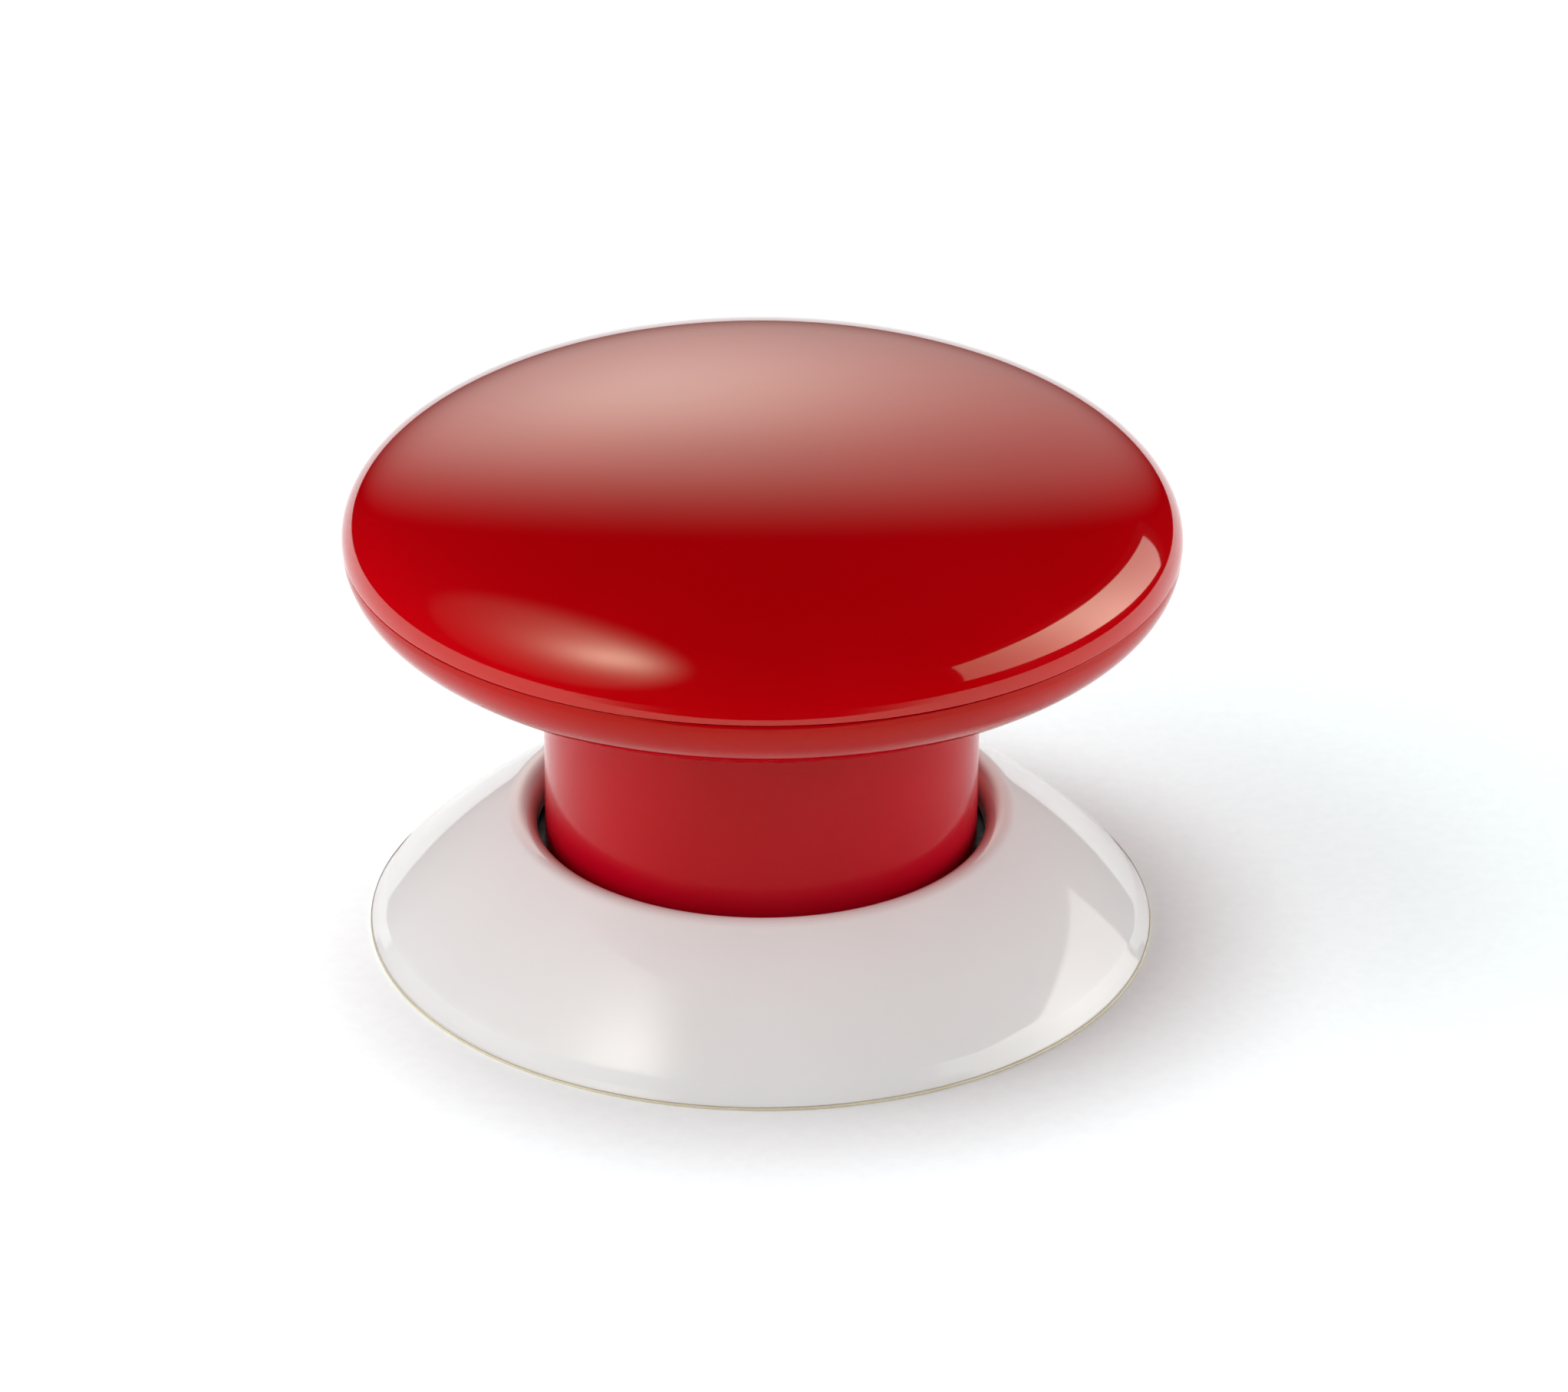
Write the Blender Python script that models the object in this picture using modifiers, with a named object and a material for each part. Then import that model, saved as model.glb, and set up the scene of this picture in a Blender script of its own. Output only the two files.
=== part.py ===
"""Mushroom push buzzer: a battery-powered button, a lens-shaped cap on a sprung stem in a conical base.

Metres, +Z up. The origin is the centre of the adhesive pad's underside, on the axis of the stem.
The cap and stem slide down PRESS_TRAVEL; the cap's upper shell turns about Z to reach the coin cell.
"""

import math

import bmesh
import bpy
from mathutils import Matrix

MM = 0.001

# Driving dimensions
CAP_RADIUS = 23.0 * MM
EQUATOR_Z = 23.9 * MM
DOME_HEIGHT = 7.7 * MM
UNDERSIDE_DEPTH = 7.5 * MM
STEM_RADIUS = 12.1 * MM
BASE_RADIUS = 21.85 * MM
LIP_Z = 7.0 * MM
PRESS_TRAVEL = 1.2 * MM
SHELL_WALL = 1.5 * MM
GAP = 0.3 * MM

# Adhesive pad and base
PAD_THICKNESS = 0.2 * MM
PAD_RADIUS = BASE_RADIUS + 0.05 * MM
BASE_BOTTOM_Z = PAD_THICKNESS + 0.1 * MM
SHOULDER_RADIUS = 21.2 * MM
SHOULDER_Z = 1.2 * MM
LIP_ROUND = 1.1 * MM
FLANK_TOP_SLOPE = math.radians(33.0)
FLANK_FOOT_SLOPE = math.radians(46.0)
HOLE_RADIUS = STEM_RADIUS + 0.45 * MM
RIM_INNER_RADIUS = 18.7 * MM
RIM_INNER_TOP_Z = 1.7 * MM
COLLAR_OUTER_RADIUS = 14.35 * MM
COLLAR_OUTER_TOP_Z = 5.1 * MM
COLLAR_BOTTOM_Z = 5.3 * MM
PLATE_RADIUS = RIM_INNER_RADIUS - 0.4 * MM
PLATE_TOP_Z = 1.9 * MM
POST_TOP_Z = 15.3 * MM
POST_RADIUS = 2.4 * MM
POST_FOOT_RADIUS = 3.4 * MM
KEY_REACH = 3.6 * MM
KEY_HALF_WIDTH = 0.5 * MM
BASE_SCREW_CIRCLE = 15.8 * MM
BASE_SCREW_SEAT_Z = 1.0 * MM

# Stem
STEM_INNER_RADIUS = 10.6 * MM
STEM_BOTTOM_Z = 3.3 * MM
WEB_BOTTOM_Z = 12.5 * MM
WEB_TOP_Z = 13.5 * MM
RING_BOTTOM_Z = 4.15 * MM
RING_TOP_Z = COLLAR_BOTTOM_Z - GAP
RING_INNER_RADIUS = 11.6 * MM
RING_OUTER_RADIUS = 13.3 * MM

# Cap shells
SEAM_TOP_Z = EQUATOR_Z - 0.2 * MM
SEAM_BOTTOM_Z = EQUATOR_Z - 0.4 * MM
LOWER_RADIUS = CAP_RADIUS - 0.1 * MM
UNDERSIDE_HOLE_RADIUS = STEM_RADIUS + GAP
LOCK_COLLAR_INNER = 19.1 * MM
LOCK_COLLAR_OUTER = 20.0 * MM
LOCK_COLLAR_TOP_Z = EQUATOR_Z + 1.5 * MM
LUG_HALF_WIDTH = 2.5 * MM
LUG_THICKNESS = 0.5 * MM

# Circuit board and what stands on it
BOARD_RADIUS = 18.4 * MM
BOARD_BOTTOM_Z = 21.0 * MM
BOARD_TOP_Z = 22.0 * MM
PART_Z = BOARD_TOP_Z + GAP
BOARD_SCREW_CIRCLE = 16.3 * MM
CELL_CENTRE_X = -5.0 * MM
CELL_RADIUS = 10.0 * MM
CELL_HEIGHT = 3.2 * MM
CELL_BOTTOM_Z = PART_Z + 0.8 * MM

# Screws: one size throughout
SCREW_LENGTH = 2.6 * MM
SCREW_RADIUS = 0.65 * MM
SCREW_HOLE_RADIUS = SCREW_RADIUS + GAP
SCREW_HEAD_RADIUS = 1.5 * MM
SCREW_HEAD_HEIGHT = 0.4 * MM
BOARD_SCREW_ANGLES = (0.0, 120.0, 240.0)
BASE_SCREW_ANGLES = (90.0, 210.0, 330.0)
LUG_ANGLES = (0.0, 120.0, 240.0)

# How far a cutter runs past the piece it cuts
THROUGH = 1.0 * MM

STEPS = 40
SMALL_STEPS = 12
MERGE = 0.00001
WELD = 0.000002
SHARP_ANGLE = math.radians(35.0)

# Colour (linear), roughness and metallic value of each look
LOOKS = {
    "gloss_red": ((0.42, 0.002, 0.004), 0.12, 0.0),
    "satin_red": ((0.40, 0.004, 0.006), 0.32, 0.0),
    "gloss_white": ((0.80, 0.77, 0.75), 0.15, 0.0),
    "foam_tape": ((0.62, 0.54, 0.40), 0.85, 0.0),
    "black_plastic": ((0.02, 0.02, 0.022), 0.45, 0.0),
    "cream_plastic": ((0.75, 0.72, 0.62), 0.40, 0.0),
    "steel": ((0.62, 0.62, 0.64), 0.28, 1.0),
    "spring_steel": ((0.48, 0.48, 0.50), 0.35, 1.0),
    "black_steel": ((0.02, 0.02, 0.022), 0.45, 1.0),
    "brass": ((0.72, 0.50, 0.20), 0.30, 1.0),
    "copper": ((0.80, 0.38, 0.20), 0.30, 1.0),
    "grey_rubber": ((0.08, 0.08, 0.08), 0.80, 0.0),
    "board_green": ((0.02, 0.13, 0.05), 0.40, 0.0),
    "lamp": ((0.85, 0.85, 0.80), 0.20, 0.0),
}


# --- Scene, collections and looks -------------------------------------------------------------

def clear_scene():
    for obj in list(bpy.data.objects):
        bpy.data.objects.remove(obj, do_unlink=True)


def new_collection(name):
    collection = bpy.data.collections.new(name)
    bpy.context.scene.collection.children.link(collection)
    return collection


def look_material(name, look):
    """A Principled material with the look's colour, roughness and metallic value."""
    colour, roughness, metallic = LOOKS[look]
    material = bpy.data.materials.new(name)
    material.use_nodes = True
    shader = material.node_tree.nodes["Principled BSDF"]
    shader.inputs["Base Color"].default_value = (*colour, 1.0)
    shader.inputs["Roughness"].default_value = roughness
    shader.inputs["Metallic"].default_value = metallic
    material.diffuse_color = (*colour, 1.0)
    return material


clear_scene()
PARTS = new_collection("mushroom_push_buzzer")
CUTTERS = new_collection("cutters")


def place(name, data, look, location=(0.0, 0.0, 0.0)):
    """Put mesh or curve data in the parts collection, with a material of its own."""
    data.materials.append(look_material(name, look))
    obj = bpy.data.objects.new(name, data)
    obj.location = location
    PARTS.objects.link(obj)
    return obj


def empty_on_axis(name, parent=None):
    """A parent for the pieces that move together; it stands on the joint's axis, the Z axis."""
    empty = bpy.data.objects.new(name, None)
    empty.empty_display_size = CAP_RADIUS
    empty.parent = parent
    PARTS.objects.link(empty)
    return empty


# --- Shape helpers ----------------------------------------------------------------------------

def profile_mesh(name, profile):
    """A chain of (radius, height) points; the chain is closed unless it starts and ends on the axis."""
    mesh = bpy.data.meshes.new(name)
    last = len(profile) - 1
    edges = [(i, i + 1) for i in range(last)]
    if min(radius for radius, _ in profile) > 0.0:
        edges.append((last, 0))
    mesh.from_pydata([(radius, 0.0, height) for radius, height in profile], edges, [])
    return mesh


def add_screw(obj, steps):
    screw = obj.modifiers.new("Turn", "SCREW")
    screw.axis = "Z"
    screw.angle = math.tau
    screw.steps = steps
    screw.render_steps = steps
    screw.use_merge_vertices = True
    screw.merge_threshold = MERGE


def turned(name, profile, look, steps=STEPS, location=(0.0, 0.0, 0.0)):
    """Spin a profile about the object's own Z; it runs down its outer side and back up its inner side."""
    obj = place(name, profile_mesh(name, profile), look, location)
    add_screw(obj, steps)
    return obj


def box_mesh(name, low, high):
    mesh = bpy.data.meshes.new(name)
    bm = bmesh.new()
    bmesh.ops.create_cube(bm, size=1.0)
    size = [high[i] - low[i] for i in range(3)]
    middle = [(high[i] + low[i]) / 2.0 for i in range(3)]
    bmesh.ops.scale(bm, vec=size, verts=bm.verts)
    bmesh.ops.translate(bm, vec=middle, verts=bm.verts)
    bm.to_mesh(mesh)
    bm.free()
    return mesh


def block(name, centre, size, bottom_z, look, bevel):
    """A box standing at bottom_z with all its edges bevelled."""
    low = (-size[0] / 2.0, -size[1] / 2.0, 0.0)
    high = (size[0] / 2.0, size[1] / 2.0, size[2])
    obj = place(name, box_mesh(name, low, high), look, (centre[0], centre[1], bottom_z))
    edge = obj.modifiers.new("Edges", "BEVEL")
    edge.width = bevel
    edge.segments = 1
    edge.limit_method = "ANGLE"
    return obj


def as_tool(obj):
    """Keep a Boolean's other operand in the cutters collection, out of the build."""
    for collection in list(obj.users_collection):
        collection.objects.unlink(obj)
    CUTTERS.objects.link(obj)
    obj.hide_render = True
    obj.display_type = "WIRE"
    return obj


def box_tool(name, low, high, turn_degrees=0.0):
    obj = bpy.data.objects.new(name, box_mesh(name, low, high))
    obj.rotation_euler.z = math.radians(turn_degrees)
    return as_tool(obj)


def turned_tool(name, profile, location, steps=SMALL_STEPS):
    obj = bpy.data.objects.new(name, profile_mesh(name, profile))
    obj.location = location
    add_screw(obj, steps)
    return as_tool(obj)


def rod_profile(radius, bottom_z, top_z):
    return [(0.0, top_z), (radius, top_z), (radius, bottom_z), (0.0, bottom_z)]


def combine(obj, tools, operation):
    """UNION or DIFFERENCE with each tool in turn, welding the hairline edges that a cut leaves."""
    for tool in tools:
        step = obj.modifiers.new(tool.name, "BOOLEAN")
        step.operation = operation
        step.object = tool
        weld = obj.modifiers.new("Weld", "WELD")
        weld.merge_threshold = WELD


def finish(obj):
    """Apply the modifiers, then shade the round faces smooth and keep edges above SHARP_ANGLE crisp."""
    graph = bpy.context.evaluated_depsgraph_get()
    mesh = bpy.data.meshes.new_from_object(obj.evaluated_get(graph))
    obj.modifiers.clear()
    obj.data = mesh
    mesh.name = obj.name
    mesh.shade_smooth()
    mesh.set_sharp_from_angle(angle=SHARP_ANGLE)
    return obj


def on_circle(radius, degrees, z=0.0):
    angle = math.radians(degrees)
    return (radius * math.cos(angle), radius * math.sin(angle), z)


def arc(centre, radius, start_degrees, end_degrees, count):
    """Points of a profile arc, both ends included, angles measured from the outward direction."""
    points = []
    for i in range(count + 1):
        angle = math.radians(start_degrees + (end_degrees - start_degrees) * i / count)
        points.append((centre[0] + radius * math.cos(angle), centre[1] + radius * math.sin(angle)))
    return points


def stand_in_body(body, *pieces):
    for piece in pieces:
        piece.parent = body


# --- Outlines of the cap ----------------------------------------------------------------------

def dome_points(radius, height, count, bottom_z):
    """The quarter ellipse of the cap's upper side, from the axis down to bottom_z."""
    points = []
    for i in range(count):
        angle = math.pi / 2.0 * i / count
        points.append((radius * math.sin(angle), EQUATOR_Z + height * math.cos(angle)))
    return points + [(radius, EQUATOR_Z), (radius, bottom_z)]


UNDERSIDE_POWER = 1.79
UNDERSIDE_DEPTH_POWER = 2.42


def underside_z(radius):
    """Height of the cap's underside at a radius: full near the rim, flatter towards the stem."""
    share = 1.0 - (radius / LOWER_RADIUS) ** UNDERSIDE_POWER
    return EQUATOR_Z - UNDERSIDE_DEPTH * share ** (1.0 / UNDERSIDE_DEPTH_POWER)


def underside_points(count):
    """From the parting line down and in to the stem's hole, closer together where the rim curves most."""
    points = [(LOWER_RADIUS, SEAM_BOTTOM_Z)]
    reach = LOWER_RADIUS - UNDERSIDE_HOLE_RADIUS
    for i in range(1, count + 1):
        radius = LOWER_RADIUS - reach * (i / count) ** 2
        if underside_z(radius) < SEAM_BOTTOM_Z:
            points.append((radius, underside_z(radius)))
    return points


# --- Base -------------------------------------------------------------------------------------

def screw_profile():
    """A wafer-head screw with its seat at z = 0 and the shank below; the head has a round recess."""
    recess_radius = 0.6 * MM
    recess_floor = 0.15 * MM
    point = 0.3 * MM
    return [
        (0.0, recess_floor),
        (recess_radius, recess_floor),
        (recess_radius, SCREW_HEAD_HEIGHT),
        (SCREW_HEAD_RADIUS - 0.15 * MM, SCREW_HEAD_HEIGHT),
        (SCREW_HEAD_RADIUS, SCREW_HEAD_HEIGHT - 0.15 * MM),
        (SCREW_HEAD_RADIUS, 0.0),
        (SCREW_RADIUS, 0.0),
        (SCREW_RADIUS, -SCREW_LENGTH + point),
        (SCREW_RADIUS - point, -SCREW_LENGTH),
        (0.0, -SCREW_LENGTH),
    ]


def screws(prefix, circle, angles, seat_z, upside_down):
    """Identical screws on a circle; they share one mesh."""
    made = []
    for number, degrees in enumerate(angles, start=1):
        name = f"{prefix}_{number}"
        if made:
            obj = bpy.data.objects.new(name, made[0].data)
            PARTS.objects.link(obj)
        else:
            obj = finish(turned(name, screw_profile(), "steel", steps=SMALL_STEPS))
        obj.location = on_circle(circle, degrees, seat_z)
        obj.rotation_euler.x = math.pi if upside_down else 0.0
        made.append(obj)
    return made


def adhesive_pad():
    return finish(turned("adhesive_pad", rod_profile(PAD_RADIUS, 0.0, PAD_THICKNESS), "foam_tape"))


def flank_points(start, end, count):
    """Convex curve from start to end, FLANK_TOP_SLOPE steep at its top and FLANK_FOOT_SLOPE at its foot."""
    reach = math.dist(start, end) / 3.0
    pull_top = (start[0] + reach * math.cos(FLANK_TOP_SLOPE), start[1] - reach * math.sin(FLANK_TOP_SLOPE))
    pull_foot = (end[0] - reach * math.cos(FLANK_FOOT_SLOPE), end[1] + reach * math.sin(FLANK_FOOT_SLOPE))
    points = []
    for i in range(1, count + 1):
        t = i / count
        shares = ((1.0 - t) ** 3, 3.0 * t * (1.0 - t) ** 2, 3.0 * t * t * (1.0 - t), t ** 3)
        pulls = (start, pull_top, pull_foot, end)
        radius = sum(share * pull[0] for share, pull in zip(shares, pulls))
        height = sum(share * pull[1] for share, pull in zip(shares, pulls))
        points.append((radius, height))
    return points


def base_flange():
    """White cone: rounded lip round the hole, convex flank and steep rim band; hollow underneath."""
    lip_centre = (HOLE_RADIUS + LIP_ROUND, LIP_Z - LIP_ROUND)
    profile = arc(lip_centre, LIP_ROUND, 180.0, 90.0 - math.degrees(FLANK_TOP_SLOPE), 7)
    profile += flank_points(profile[-1], (SHOULDER_RADIUS, SHOULDER_Z), 6)
    profile += [
        (BASE_RADIUS, BASE_BOTTOM_Z),
        (RIM_INNER_RADIUS, BASE_BOTTOM_Z),
        (RIM_INNER_RADIUS, RIM_INNER_TOP_Z),
        (COLLAR_OUTER_RADIUS, COLLAR_OUTER_TOP_Z),
        (COLLAR_OUTER_RADIUS, COLLAR_BOTTOM_Z),
        (HOLE_RADIUS, COLLAR_BOTTOM_Z),
    ]
    flange = turned("base_flange", profile, "gloss_white")
    boss_radius = 1.5 * MM
    boss_bottom = PLATE_TOP_Z + GAP
    boss_top = 4.2 * MM
    hole_top = 3.9 * MM
    bosses = []
    holes = []
    for number, degrees in enumerate(BASE_SCREW_ANGLES, start=1):
        spot = on_circle(BASE_SCREW_CIRCLE, degrees)
        boss = rod_profile(boss_radius, boss_bottom, boss_top)
        hole = rod_profile(SCREW_HOLE_RADIUS, BASE_BOTTOM_Z, hole_top)
        bosses.append(turned_tool(f"flange_boss_{number}", boss, spot))
        holes.append(turned_tool(f"flange_boss_hole_{number}", hole, spot))
    combine(flange, bosses, "UNION")
    combine(flange, holes, "DIFFERENCE")
    return finish(flange)


def base_plate():
    """Bottom plate with the central post that guides the stem and works the switch."""
    chamfer = 0.4 * MM
    spring_rib_inner = 6.2 * MM
    spring_rib_outer = 7.0 * MM
    spring_rib_top = PLATE_TOP_Z + 1.0 * MM
    foot_top = PLATE_TOP_Z + 1.4 * MM
    taper_top = PLATE_TOP_Z + 3.0 * MM
    key_bottom = PLATE_TOP_Z + 5.0 * MM
    key_top = POST_TOP_Z - 0.3 * MM
    profile = [
        (0.0, POST_TOP_Z),
        (POST_RADIUS - chamfer, POST_TOP_Z),
        (POST_RADIUS, POST_TOP_Z - chamfer),
        (POST_RADIUS, taper_top),
        (POST_FOOT_RADIUS, foot_top),
        (POST_FOOT_RADIUS, PLATE_TOP_Z),
        (spring_rib_inner, PLATE_TOP_Z),
        (spring_rib_inner, spring_rib_top),
        (spring_rib_outer, spring_rib_top),
        (spring_rib_outer, PLATE_TOP_Z),
        (PLATE_RADIUS, PLATE_TOP_Z),
        (PLATE_RADIUS, BASE_BOTTOM_Z),
        (0.0, BASE_BOTTOM_Z),
    ]
    plate = turned("base_plate", profile, "black_plastic")
    key_low = (-KEY_REACH, -KEY_HALF_WIDTH, key_bottom)
    key_high = (KEY_REACH, KEY_HALF_WIDTH, key_top)
    combine(plate, [box_tool("post_keys", key_low, key_high)], "UNION")
    counterbore = SCREW_HEAD_RADIUS + 0.4 * MM
    counterbore_top = 1.25 * MM
    below = BASE_BOTTOM_Z - THROUGH
    above = PLATE_TOP_Z + THROUGH
    hole = [
        (0.0, above),
        (SCREW_HOLE_RADIUS, above),
        (SCREW_HOLE_RADIUS, counterbore_top),
        (counterbore, counterbore_top),
        (counterbore, below),
        (0.0, below),
    ]
    holes = []
    for number, degrees in enumerate(BASE_SCREW_ANGLES, start=1):
        holes.append(turned_tool(f"plate_hole_{number}", hole, on_circle(BASE_SCREW_CIRCLE, degrees)))
    combine(plate, holes, "DIFFERENCE")
    return finish(plate)


def stop_buffer():
    """Rubber ring under the retaining ring; it takes the end of the stroke."""
    inner = STEM_RADIUS + GAP
    outer = inner + 1.0 * MM
    bottom = PLATE_TOP_Z + GAP
    top = bottom + 0.5 * MM
    profile = [(outer, top), (outer, bottom), (inner, bottom), (inner, top)]
    return finish(turned("stop_buffer", profile, "grey_rubber"))


def return_spring():
    """Compression spring round the post, with a closed coil at each end."""
    wire = 0.35 * MM
    coil_radius = 5.4 * MM
    end_pitch = 0.85 * MM
    active_turns = 4.5
    points_per_turn = 12
    bottom = PLATE_TOP_Z + GAP + wire
    top = WEB_BOTTOM_Z - GAP - wire
    active_pitch = (top - bottom - 2.0 * end_pitch) / active_turns
    curve = bpy.data.curves.new("return_spring", "CURVE")
    curve.dimensions = "3D"
    curve.bevel_depth = wire
    curve.bevel_resolution = 2
    curve.use_fill_caps = True
    count = int((active_turns + 2.0) * points_per_turn) + 1
    spline = curve.splines.new("POLY")
    spline.points.add(count - 1)
    z = bottom
    for i in range(count):
        turn = i / points_per_turn
        angle = math.tau * turn
        spline.points[i].co = (coil_radius * math.cos(angle), coil_radius * math.sin(angle), z, 1.0)
        active = 1.0 <= turn < 1.0 + active_turns
        z += (active_pitch if active else end_pitch) / points_per_turn
    return place("return_spring", curve, "spring_steel")


# --- Stem and cap -----------------------------------------------------------------------------

def stem_tube():
    """Thick stem with an inner web for the spring, a groove for the retaining ring and a top flange."""
    groove_bottom = RING_BOTTOM_Z - 0.25 * MM
    groove_top = RING_TOP_Z + GAP
    groove_radius = RING_INNER_RADIUS - GAP
    chamfer = 0.3 * MM
    flange_radius = 14.2 * MM
    flange_bottom = 19.2 * MM
    flange_top = 20.0 * MM
    web_hole = POST_RADIUS + 0.4 * MM
    profile = [
        (STEM_INNER_RADIUS, flange_top),
        (flange_radius, flange_top),
        (flange_radius, flange_bottom),
        (STEM_RADIUS, flange_bottom),
        (STEM_RADIUS, groove_top),
        (groove_radius, groove_top),
        (groove_radius, groove_bottom),
        (STEM_RADIUS, groove_bottom),
        (STEM_RADIUS - chamfer, STEM_BOTTOM_Z),
        (STEM_INNER_RADIUS, STEM_BOTTOM_Z),
        (STEM_INNER_RADIUS, WEB_BOTTOM_Z),
        (web_hole, WEB_BOTTOM_Z),
        (web_hole, WEB_TOP_Z),
        (STEM_INNER_RADIUS, WEB_TOP_Z),
    ]
    stem = turned("stem_tube", profile, "satin_red")
    slot_reach = KEY_REACH + GAP
    slot_half_width = KEY_HALF_WIDTH + GAP
    low = (-slot_reach, -slot_half_width, WEB_BOTTOM_Z - THROUGH)
    high = (slot_reach, slot_half_width, WEB_TOP_Z + THROUGH)
    combine(stem, [box_tool("web_key_slots", low, high)], "DIFFERENCE")
    return finish(stem)


def retaining_ring():
    """Split ring in the stem's groove; it meets the underside of the base's collar."""
    profile = [
        (RING_OUTER_RADIUS, RING_TOP_Z),
        (RING_OUTER_RADIUS, RING_BOTTOM_Z),
        (RING_INNER_RADIUS, RING_BOTTOM_Z),
        (RING_INNER_RADIUS, RING_TOP_Z),
    ]
    ring = turned("retaining_ring", profile, "black_steel")
    split_half_width = 0.9 * MM
    split_degrees = 45.0
    low = (RING_INNER_RADIUS - THROUGH, -split_half_width, RING_BOTTOM_Z - THROUGH)
    high = (RING_OUTER_RADIUS + THROUGH, split_half_width, RING_TOP_Z + THROUGH)
    combine(ring, [box_tool("ring_split", low, high, split_degrees)], "DIFFERENCE")
    return finish(ring)


def cap_lower_shell():
    """Underside of the cap, with the collar and lugs that the upper shell locks onto."""
    trough_z = SEAM_BOTTOM_Z - 0.65 * MM
    rim_inner = CAP_RADIUS - SHELL_WALL - 0.1 * MM
    hole_top = underside_z(UNDERSIDE_HOLE_RADIUS) + 1.34 * MM
    ledge_radius = 14.6 * MM
    bend = (17.4 * MM, 20.1 * MM)
    collar_foot_z = 20.8 * MM
    profile = underside_points(12)
    profile += [
        (UNDERSIDE_HOLE_RADIUS, hole_top),
        (ledge_radius, hole_top),
        bend,
        (LOCK_COLLAR_INNER, collar_foot_z),
        (LOCK_COLLAR_INNER, LOCK_COLLAR_TOP_Z),
        (LOCK_COLLAR_OUTER, LOCK_COLLAR_TOP_Z),
        (LOCK_COLLAR_OUTER, trough_z),
        (rim_inner, trough_z),
        (rim_inner, SEAM_BOTTOM_Z),
    ]
    shell = turned("cap_lower_shell", profile, "gloss_red")
    lug_root = LOCK_COLLAR_OUTER - 0.4 * MM
    lug_tip = LOCK_COLLAR_OUTER + 0.45 * MM
    lug_top = LOCK_COLLAR_TOP_Z - 0.1 * MM
    low = (lug_root, -LUG_HALF_WIDTH, LOCK_COLLAR_TOP_Z - LUG_THICKNESS)
    high = (lug_tip, LUG_HALF_WIDTH, lug_top)
    lugs = [box_tool(f"collar_lug_{int(turn)}", low, high, turn) for turn in LUG_ANGLES]
    boss_radius = 1.4 * MM
    boss_bottom = 19.15 * MM
    boss_top = BOARD_BOTTOM_Z - GAP
    hole_bottom = boss_bottom + 0.25 * MM
    bosses = []
    holes = []
    for number, degrees in enumerate(BOARD_SCREW_ANGLES, start=1):
        spot = on_circle(BOARD_SCREW_CIRCLE, degrees)
        boss = rod_profile(boss_radius, boss_bottom, boss_top)
        hole = rod_profile(SCREW_HOLE_RADIUS, hole_bottom, boss_top + THROUGH)
        bosses.append(turned_tool(f"board_boss_{number}", boss, spot))
        holes.append(turned_tool(f"board_boss_hole_{number}", hole, spot))
    combine(shell, lugs + bosses, "UNION")
    combine(shell, holes, "DIFFERENCE")
    return finish(shell)


def seal_ring():
    """Round-section gasket in the lower shell's trough."""
    section = 0.35 * MM
    centre = (20.7 * MM, SEAM_BOTTOM_Z - 0.05 * MM)
    profile = arc(centre, section, 90.0, -210.0, 5)
    return finish(turned("seal_ring", profile, "grey_rubber"))


def cap_upper_shell():
    """Dome of the cap, with three lugs that turn under those of the lower shell's collar."""
    outer = dome_points(CAP_RADIUS, DOME_HEIGHT, 10, SEAM_TOP_Z)
    inner = dome_points(CAP_RADIUS - SHELL_WALL, DOME_HEIGHT - SHELL_WALL, 8, SEAM_TOP_Z)
    shell = turned("cap_upper_shell", outer + inner[::-1], "gloss_red")
    lug_top = LOCK_COLLAR_TOP_Z - LUG_THICKNESS - GAP
    lug_tip = LOCK_COLLAR_OUTER + 0.2 * MM
    lug_root = CAP_RADIUS - 0.9 * MM
    low = (lug_tip, -LUG_HALF_WIDTH, lug_top - LUG_THICKNESS)
    high = (lug_root, LUG_HALF_WIDTH, lug_top)
    lugs = [box_tool(f"shell_lug_{int(turn)}", low, high, turn) for turn in LUG_ANGLES]
    combine(shell, lugs, "UNION")
    return finish(shell)


# --- Inside the cap ---------------------------------------------------------------------------

def main_board():
    board = turned("main_board", rod_profile(BOARD_RADIUS, BOARD_BOTTOM_Z, BOARD_TOP_Z), "board_green")
    hole = rod_profile(SCREW_HOLE_RADIUS, BOARD_BOTTOM_Z - THROUGH, BOARD_TOP_Z + THROUGH)
    holes = []
    for number, degrees in enumerate(BOARD_SCREW_ANGLES, start=1):
        holes.append(turned_tool(f"board_hole_{number}", hole, on_circle(BOARD_SCREW_CIRCLE, degrees)))
    combine(board, holes, "DIFFERENCE")
    return finish(board)


SWITCH_HEIGHT = 3.5 * MM
SWITCH_BOTTOM_Z = BOARD_BOTTOM_Z - GAP - SWITCH_HEIGHT
PLUNGER_RADIUS = 1.6 * MM
PLUNGER_BOTTOM_Z = POST_TOP_Z + GAP
PLUNGER_TOP_Z = PLUNGER_BOTTOM_Z + 3.0 * MM


def switch_body():
    side = 6.2 * MM
    bevel = 0.3 * MM
    size = (side, side, SWITCH_HEIGHT)
    body = block("switch_body", (0.0, 0.0), size, SWITCH_BOTTOM_Z, "black_plastic", bevel)
    bore_top = PLUNGER_TOP_Z + PRESS_TRAVEL + GAP
    bore = rod_profile(PLUNGER_RADIUS + GAP, SWITCH_BOTTOM_Z - THROUGH, bore_top)
    combine(body, [turned_tool("switch_bore", bore, (0.0, 0.0, 0.0))], "DIFFERENCE")
    return finish(body)


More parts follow.
